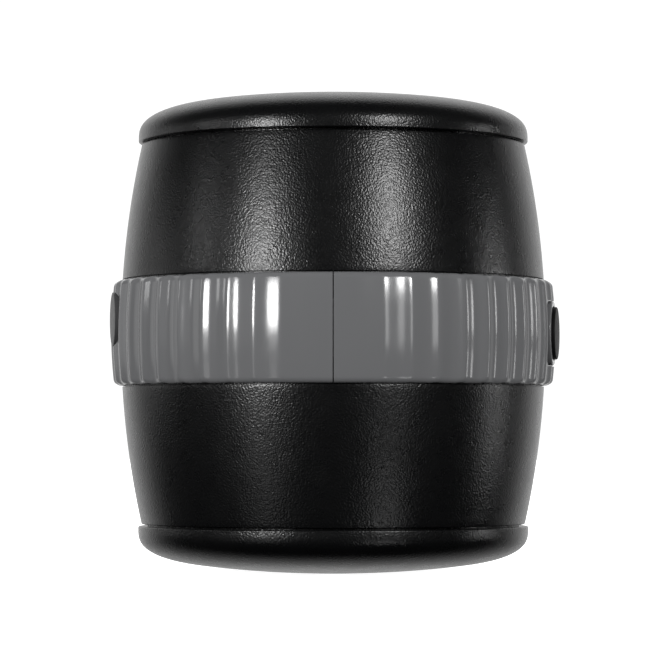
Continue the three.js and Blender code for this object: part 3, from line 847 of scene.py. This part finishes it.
def flat_window(band, place):
    """Cutter for the square flat in the flutes, its corners a little rounded."""
    half_z, half_y, corner = band.flat_height / 2, band.flat_width / 2, 0.6
    outline = []
    for sign_z, sign_y, start in ((1, 1, 0), (-1, 1, 90), (-1, -1, 180), (1, -1, 270)):
        for step in range(FILLET_STEPS + 1):
            a = math.radians(start + 90 * step / FILLET_STEPS)
            centre = sign_z * (half_z - corner), sign_y * (half_y - corner)
            outline.append((centre[0] + corner * math.cos(a), centre[1] + corner * math.sin(a)))
    count = len(outline)
    corners = [(x, y, z) for z in (band.flat_face, FAR) for x, y in outline]
    sides = [(i, (i + 1) % count, count + (i + 1) % count, count + i) for i in range(count)]
    ends = [tuple(reversed(range(count))), tuple(range(count, 2 * count))]
    return piece("window", (corners, sides + ends), place)


def half_ring(name, first):
    """A half ring from its first seam, with a tongue at its far end and a socket at its near one."""
    band = settings("barrel_band")
    seam = GAP / 2 / band.inner_radius
    steps = round(180 / BAND_STEP)
    angles = [first + math.pi * i / steps for i in range(steps + 1)]
    angles[0] += seam
    angles[-1] -= seam
    sections = [band_section(band, a) for a in angles]
    ring = piece(name, lofted(sections, angles))
    combine(ring, [tongue(first + math.pi, 0)], "UNION")
    combine(ring, [tongue(first, GAP)], "DIFFERENCE")
    return ring


class BARREL_OT_grip_band(Operator):
    """Add the two fluted half rings, with the badge's boss on the right and the plug's hollow on the left"""

    bl_idname = "barrel.grip_band"
    bl_label = "Grip Band"

    def execute(self, context):
        band = settings("barrel_band")
        (right, right_face), (left, left_face) = band_places()
        ring = half_ring("grip_band_right", -math.pi / 2)
        combine(ring, [flat_window(band, right)], "DIFFERENCE")
        foot = band.inner_radius + 1.5  # inside the ring's wall
        boss = rounded([
            (0, foot),
            (band.boss_radius, foot),
            (band.boss_radius, band.boss_face, 0.4),
            (0, band.boss_face),
        ])
        combine(ring, [piece("boss", turned(boss, SMALL_SIDES * 2), right)], "UNION")
        back, bore = band.badge_face - band.badge_thickness - GAP, band.badge_radius + GAP
        mouth = (bore, band.boss_face - 0.15, 0.1)
        pocket = rounded([(0, back), (bore, back), mouth, (bore + 0.5, FAR), (0, FAR)])
        cutters = [
            piece("pocket", turned(pocket, SMALL_SIDES * 2), right),
            piece("hole", screw_room(BAND_SCREW), right @ raised(right_face)),
        ]
        combine(ring, cutters, "DIFFERENCE")
        finish_piece(ring, "barrel", "band", band_plastic, "band_right")

        ring = half_ring("grip_band_left", -3 * math.pi / 2)
        floor, bore = band.plug_back - GAP, band.plug_radius + GAP
        pocket = [(0, floor), (bore, floor), (bore, FAR), (0, FAR)]
        cutters = [
            piece("pocket", turned(pocket, SMALL_SIDES * 2), left),
            piece("hole", screw_room(BAND_SCREW), left @ raised(left_face)),
        ]
        combine(ring, cutters, "DIFFERENCE")
        finish_piece(ring, "barrel", "band", band_plastic, "band_left")
        return {"FINISHED"}


class BARREL_OT_badge_and_plug(Operator):
    """Add the flat badge disc and the crowned plug"""

    bl_idname = "barrel.badge_and_plug"
    bl_label = "Badge and Plug"

    def execute(self, context):
        band = settings("barrel_band")
        (right, _), (left, _) = band_places()
        face, back, radius = band.badge_face, band.badge_face - band.badge_thickness, band.badge_radius
        disc = rounded([(0, back), (radius, back, 0.15), (radius, face, 0.3), (0, face)])
        made = piece("badge_face", turned(disc, SMALL_SIDES * 2), right)
        finish_piece(made, "barrel", "badge", badge_enamel, "badge_disc")

        edge, foot, radius = band.plug_edge, band.plug_back, band.plug_radius
        crown = arc(0, edge, radius, band.plug_crown - edge, 0, 90, 14)[:-1]
        outline = [(0, foot), (radius - 0.2, foot), (radius, foot + 0.2)]
        outline += [*crown, (0, band.plug_crown)]
        made = piece("round_plug", turned(outline, SMALL_SIDES * 2), left)
        finish_piece(made, "barrel", "plug", shaded_plug_plastic, "side_plug")
        return {"FINISHED"}


# ---- Liner and what closes it ------------------------------------------------------------------
LINER_RADIUS = 55.05
LINER_ARC = 845
CAVITY_SIDES = 10
CAVITY_LOW = 23.6
CAVITY_HIGH = 117.4
CAVITY_MIDDLE_RADIUS = 52.6  # over the ten corners
CAVITY_END_RADIUS = 50.4
CAVITY_CORNER = 6
MOUTH_RADIUS = 40


def ten_sided(a):
    """Radius of a ten-sided figure with eased corners, as a share of the radius over its corners."""
    half = math.pi / CAVITY_SIDES
    flat = math.cos(half) / math.cos((a % (2 * half)) - half)
    return min(flat, 0.992)


class BARREL_OT_liner(Operator):
    """Add the rubber liner with its ten-sided cavity"""

    bl_idname = "barrel.liner"
    bl_label = "Liner"

    def execute(self, context):
        casing = settings("barrel_casing")
        collar = casing.neck_bore - GAP
        shoulder = HEIGHT - SHELL_FOOT - casing.floor - GAP
        side = bellied_line(LINER_RADIUS, LINER_ARC, LINER_LOW + 3, shoulder - 2, 16)
        outline = rounded([
            (0, LINER_LOW),
            (side[0][0] - 3, LINER_LOW, 1.5),
            (*side[0], 2.0),
            *side[1:-1],
            (*side[-1], 1.0),
            (side[-1][0] - 2, shoulder, 1.0),
            (collar, shoulder, 0.4),
            (collar, LINER_TOP, 0.6),
            (0, LINER_TOP),
        ])
        end, corner = CAVITY_END_RADIUS, CAVITY_CORNER
        cavity = rounded([
            (0, CAVITY_LOW),
            (end - corner, CAVITY_LOW, 3),
            (end, CAVITY_LOW + corner, 3),
            (CAVITY_MIDDLE_RADIUS, MIDDLE, 60),
            (end, CAVITY_HIGH - corner, 3),
            (end - corner, CAVITY_HIGH, 3),
            (0, CAVITY_HIGH),
        ])
        mouth = [
            (0, CAVITY_HIGH - 1),
            (MOUTH_RADIUS, CAVITY_HIGH - 1),
            (MOUTH_RADIUS, LINER_TOP - 0.6),
            (MOUTH_RADIUS + 0.6, LINER_TOP + 0.01),
            (MOUTH_RADIUS + 0.6, LINER_TOP + 1),
            (0, LINER_TOP + 1),
        ]
        liner = piece("rubber_liner", turned(outline))
        cutters = [piece("cavity", turned(cavity, 240, ten_sided)), piece("mouth", turned(mouth))]
        combine(liner, cutters, "DIFFERENCE")
        finish_piece(liner, "barrel", "rubber", moulded_rubber, "liner")
        return {"FINISHED"}


class BARREL_OT_lid_insert(Operator):
    """Add the rubber inner lid, the pressure plate and the clip ring"""

    bl_idname = "barrel.lid_insert"
    bl_label = "Lid Insert"

    def execute(self, context):
        flange_low = LINER_TOP + GAP
        flange_top = PLATE_LOW - GAP
        plug, hollow = MOUTH_RADIUS - 2 * GAP, flange_low - 1.5
        seal = rounded([
            (0, hollow),
            (plug - 6, hollow, 0.8),
            (plug - 5, INNER_LID_FOOT, 0.6),
            (plug - 1.5, INNER_LID_FOOT, 0.5),
            (plug, INNER_LID_FOOT + 1.5, 0.5),
            (plug, flange_low, 0.2),
            (INNER_LID_RADIUS, flange_low, 0.5),
            (INNER_LID_RADIUS, INNER_LID_RIM, 0.4),
            (PLATE_RADIUS + GAP, INNER_LID_RIM, 0.4),
            (PLATE_RADIUS + GAP, flange_top, 0.2),
            (0, flange_top),
        ])
        made = piece("sealing_lid", turned(seal))
        finish_piece(made, "lid_insert", "rubber", moulded_rubber, "inner_lid")

        top, inner, outer, groove = PLATE_LOW + PLATE_THICKNESS, 7.6, 11, CLIP_OUTER + GAP
        plate = rounded([
            (0, PLATE_LOW),
            (PLATE_RADIUS, PLATE_LOW, 0.5),
            (PLATE_RADIUS, top, 0.5),
            (outer, top, 0.8),
            (outer, COLLAR_TOP, 0.5),
            (inner, COLLAR_TOP, 0.3),
            (inner, CLIP_TOP + GAP, 0.1),
            (groove, CLIP_TOP + GAP),
            (groove, CLIP_LOW - GAP),
            (inner, CLIP_LOW - GAP, 0.1),
            (inner, top, 0.3),
            (0, top),
        ])
        made = piece("thrust_plate", turned(plate))
        finish_piece(made, "lid_insert", "plate", plate_plastic, "pressure_plate")

        inner = LID_BOSS.radius + 0.4
        ring = rounded([
            (inner, CLIP_LOW, 0.2),
            (CLIP_OUTER, CLIP_LOW, 0.2),
            (CLIP_OUTER, CLIP_TOP, 0.2),
            (inner, CLIP_TOP, 0.2),
        ])
        made = piece("retaining_ring", turned(ring, SMALL_SIDES))
        finish_piece(made, "lid_insert", "steel", plated_steel, "lid_clip")
        return {"FINISHED"}


# ---- Screws ------------------------------------------------------------------------------------
def cross_blade(wide, thick, deep, turn):
    """One blade of a cross recess, cut down from just over the head's face."""
    corners = []
    for z, grow in ((-deep, 0.35), (0.2, 1.0)):
        x, y = wide / 2 * grow, thick / 2 * (0.7 + 0.3 * grow)
        corners += [(-x, -y, z), (x, -y, z), (x, y, z), (-x, y, z)]
    faces = [(0, 3, 2, 1), (4, 5, 6, 7), (0, 1, 5, 4), (1, 2, 6, 5), (2, 3, 7, 6), (3, 0, 4, 7)]
    return piece("blade", (corners, faces), Matrix.Rotation(turn, 4, "Z"))


def screw(name, size, place):
    """A countersunk screw with a cross recess and a rolled thread."""
    core, depth, pitch = size.shank * 0.82, size.shank * 0.18, 0.8
    outline = rounded([
        (0, 0),
        (size.head, 0, 0.1),
        (size.head, -0.3, 0.05),
        (core, -size.head_height, 0.3),
        (core, -size.length + size.shank, 0.3),
        (0, -size.length),
    ])
    made = piece(name, turned(outline, SMALL_SIDES))
    turns = math.floor((size.length - size.head_height - size.shank - 0.6) / pitch * 12) * 30
    start = -size.length + size.shank + 0.1
    form = {"depth": depth, "root": 0.5, "crest": 0.12, "buried": 0.15, "runout": 60}
    thread = ridge(core, 1, start, pitch, (0, turns), **form)
    combine(made, [piece("thread", thread)], "UNION")
    wide, thick, deep = size.head * 1.2, size.head * 0.3, size.head_height * 0.75
    combine(made, [cross_blade(wide, thick, deep, t) for t in (0, math.pi / 2)], "DIFFERENCE")
    made.data.transform(place)
    return made


class BARREL_OT_screws(Operator):
    """Add the countersunk screws of the base cap, the shells and the band"""

    bl_idname = "barrel.screws"
    bl_label = "Screws"

    def execute(self, context):
        for i, place in enumerate(base_places()):
            made = screw(f"base_fixing_{i + 1}", BASE_SCREW, Matrix.Translation(Vector(place) * MM))
            finish_piece(made, "barrel", "steel", plated_steel, f"base_screw_{i + 1}")
        for i, (place, face) in enumerate(shell_places()):
            made = screw(f"shell_fixing_{i + 1}", SHELL_SCREW, place @ raised(face))
            finish_piece(made, "barrel", "steel", plated_steel, f"shell_screw_{i + 1}")
        for side, (place, face) in zip(("right", "left"), band_places()):
            made = screw(f"band_fixing_{side}", BAND_SCREW, place @ raised(face))
            finish_piece(made, "barrel", "steel", plated_steel, f"band_screw_{side}")
        return {"FINISHED"}


# ---- Stage -------------------------------------------------------------------------------------
# Name, azimuth from the front, lowest and highest elevation, width, all in degrees, and share of the
# key's radiance.
SOFT_BOXES = (
    ("key_left", -38.4, (2, 13), 8, 1.7),
    ("key_left_top", -38.4, (13, 26), 6, 0.36),
    ("key_left_foot", -38.4, (-4, 2), 6, 0.10),
    ("wide_left", -58, (-2, 12), 30, 0.01),
    ("back_left", -106, (-4, 12), 26, 0.026),
    ("key_right", 31.2, (12, 23), 8, 1.35),
    ("key_right_top", 31.2, (23, 30), 7, 0.5),
    ("key_right_foot", 31.2, (-3, 12), 7, 0.16),
    ("side_left", -75.5, (8, 17), 8, 0.2),
    ("side_right", 96, (1, 10), 9, 0.26),
    ("low_left", -39.7, (-28, -6), 6, 0.06),
    ("low_right", 30.5, (-36, -18), 7, 0.13),
    ("low_side", 97, (-12, -2), 8, 0.17),
)

AIM = (-2.41, 0, 72.75)  # what the camera looks at
FLOOR_RADIUS = 6000
FLOOR_DEPTH = 2
SHOWN_WHITE = 1.1  # radiance of the room where the camera sees it


def soft_box(name, azimuth, elevations, width, radiance, distance=1.2):
    """A soft box round the barrel. Azimuth is in degrees from the front, positive to the right."""
    a = math.radians(azimuth)
    bottom, top = (distance * math.tan(math.radians(e)) for e in elevations)
    aim = Vector((0, 0, MIDDLE * MM))
    place = Vector((distance * math.sin(a), -distance * math.cos(a), (bottom + top) / 2)) + aim
    light = bpy.data.lights.new(name, "AREA")
    light.shape = "RECTANGLE"
    light.size = 2 * distance * math.tan(math.radians(width / 2))
    light.size_y = top - bottom
    light.energy = radiance * math.pi * light.size * light.size_y
    made = bpy.data.objects.new(name, light)
    made.location = place
    made.rotation_euler = Vector((place.x, place.y, 0)).to_track_quat("Z", "Y").to_euler()
    made.visible_camera = False
    bpy.context.scene.collection.objects.link(made)
    return made


def ramp(tree, value, low, high, at_low, at_high):
    """A smooth change from one level to another over a range."""
    made = tree.nodes.new("ShaderNodeMapRange")
    made.interpolation_type = "SMOOTHSTEP"
    made.inputs["From Min"].default_value = low
    made.inputs["From Max"].default_value = high
    made.inputs["To Min"].default_value = at_low
    made.inputs["To Max"].default_value = at_high
    tree.links.new(value, made.inputs["Value"])
    return made.outputs["Result"]


def chosen(tree, factor, zero, one):
    made = tree.nodes.new("ShaderNodeMix")
    tree.links.new(factor, made.inputs["Factor"])
    tree.links.new(zero, made.inputs["A"])
    tree.links.new(one, made.inputs["B"])
    return made.outputs["Result"]


def room_light(ambient):
    """A white room whose far wall shows in glancing reflections, with a dark side towards the camera."""
    world = bpy.data.worlds.new("studio")
    bpy.context.scene.world = world
    world.use_nodes = True
    tree = world.node_tree
    background = tree.nodes["Background"]
    background.inputs["Color"].default_value = (1, 1, 1, 1)
    direction = tree.nodes.new("ShaderNodeTexCoord").outputs["Generated"]
    parts = tree.nodes.new("ShaderNodeSeparateXYZ")
    tree.links.new(direction, parts.inputs["Vector"])
    wall = ramp(tree, parts.outputs["Y"], 0.36, 0.95, 0.012, 1.0)
    below = ramp(tree, parts.outputs["Z"], -0.6, 0.05, 0.35, 1.0)
    behind = tree.nodes.new("ShaderNodeMath")
    behind.operation = "MULTIPLY"
    tree.links.new(wall, behind.inputs[0])
    tree.links.new(below, behind.inputs[1])
    sky = ramp(tree, parts.outputs["Z"], -1, 1, ambient * 0.55, ambient * 1.45)
    sideways = tree.nodes.new("ShaderNodeMath")
    sideways.operation = "ABSOLUTE"
    tree.links.new(parts.outputs["X"], sideways.inputs[0])
    sides = ramp(tree, sideways.outputs[0], 0.3, 1, 1, 1.45)
    matt = tree.nodes.new("ShaderNodeMath")
    matt.operation = "MULTIPLY"
    tree.links.new(sky, matt.inputs[0])
    tree.links.new(sides, matt.inputs[1])
    path = tree.nodes.new("ShaderNodeLightPath")
    light = chosen(tree, path.outputs["Is Glossy Ray"], matt.outputs[0], behind.outputs[0])
    shown = tree.nodes.new("ShaderNodeMix")
    shown.inputs["B"].default_value = SHOWN_WHITE
    tree.links.new(path.outputs["Is Camera Ray"], shown.inputs["Factor"])
    tree.links.new(light, shown.inputs["A"])
    tree.links.new(shown.outputs["Result"], background.inputs["Strength"])


def floor_material():
    made, tree, shader, place = shader_tree("floor_white")
    tinted(tree, shader, noise(tree, place, 60, 2), (0.8, 0.8, 0.8), 0.01)
    shader.inputs["Roughness"].default_value = 0.9
    shader.inputs["Specular IOR Level"].default_value = 0.0
    shader.inputs["Emission Color"].default_value = (1, 1, 1, 1)
    shader.inputs["Emission Strength"].default_value = 1.0
    return made


class BARREL_OT_stage(Operator):
    """Add the camera, the white floor and the soft light"""

    bl_idname = "barrel.stage"
    bl_label = "Stage"

    def execute(self, context):
        studio = settings("barrel_studio")
        scene = context.scene
        camera = bpy.data.cameras.new("camera")
        camera.lens = studio.lens
        camera.sensor_width = 36
        camera.clip_end = 50  # metres
        eye = bpy.data.objects.new("camera", camera)
        eye.location = Vector((0, -studio.eye_distance, studio.eye_height)) * MM
        aim = Vector(AIM) * MM
        eye.rotation_euler = (aim - eye.location).to_track_quat("-Z", "Y").to_euler()
        scene.collection.objects.link(eye)
        scene.camera = eye
        scene.view_settings.view_transform = "Standard"

        outline = [(0, -FLOOR_DEPTH), (FLOOR_RADIUS, -FLOOR_DEPTH), (FLOOR_RADIUS, 0), (0, 0)]
        floor = piece("floor", turned(outline, SMALL_SIDES))
        floor.data.materials.append(floor_material())
        floor.visible_glossy = False
        floor.visible_diffuse = False
        room_light(studio.ambient)
        for name, azimuth, elevations, width, strength in SOFT_BOXES:
            soft_box(name, azimuth, elevations, width, studio.key * strength)
        return {"FINISHED"}


# ---- Panel and registration --------------------------------------------------------------------
PIECES = (
    "base_cap",
    "screw_lid",
    "shells",
    "grip_band",
    "badge_and_plug",
    "liner",
    "lid_insert",
    "screws",
    "stage",
)
GROUPS = {
    "barrel_casing": BARREL_PG_casing,
    "barrel_band": BARREL_PG_band,
    "barrel_finishes": BARREL_PG_finishes,
    "barrel_studio": BARREL_PG_studio,
}


class BARREL_PT_panel(Panel):
    """Lists the barrel's pieces and settings"""

    bl_idname = "BARREL_PT_panel"
    bl_label = "Rock Tumbler Barrel"
    bl_space_type = "VIEW_3D"
    bl_region_type = "UI"
    bl_category = "Barrel"

    def draw(self, context):
        for name in PIECES:
            self.layout.operator(f"barrel.{name}")
        for name, group in GROUPS.items():
            box = self.layout.box()
            box.label(text=group.__doc__)
            for prop in group.__annotations__:
                box.prop(getattr(context.scene, name), prop)


CLASSES = (
    *GROUPS.values(),
    BARREL_OT_base_cap,
    BARREL_OT_screw_lid,
    BARREL_OT_shells,
    BARREL_OT_grip_band,
    BARREL_OT_badge_and_plug,
    BARREL_OT_liner,
    BARREL_OT_lid_insert,
    BARREL_OT_screws,
    BARREL_OT_stage,
    BARREL_PT_panel,
)


def register():
    for made in CLASSES:
        bpy.utils.register_class(made)
    for name, group in GROUPS.items():
        setattr(bpy.types.Scene, name, PointerProperty(type=group))


def unregister():
    for name in GROUPS:
        delattr(bpy.types.Scene, name)
    for made in reversed(CLASSES):
        bpy.utils.unregister_class(made)


def main():
    register()
    for name in PIECES:
        getattr(bpy.ops.barrel, name)()


if __name__ == "__main__":
    main()
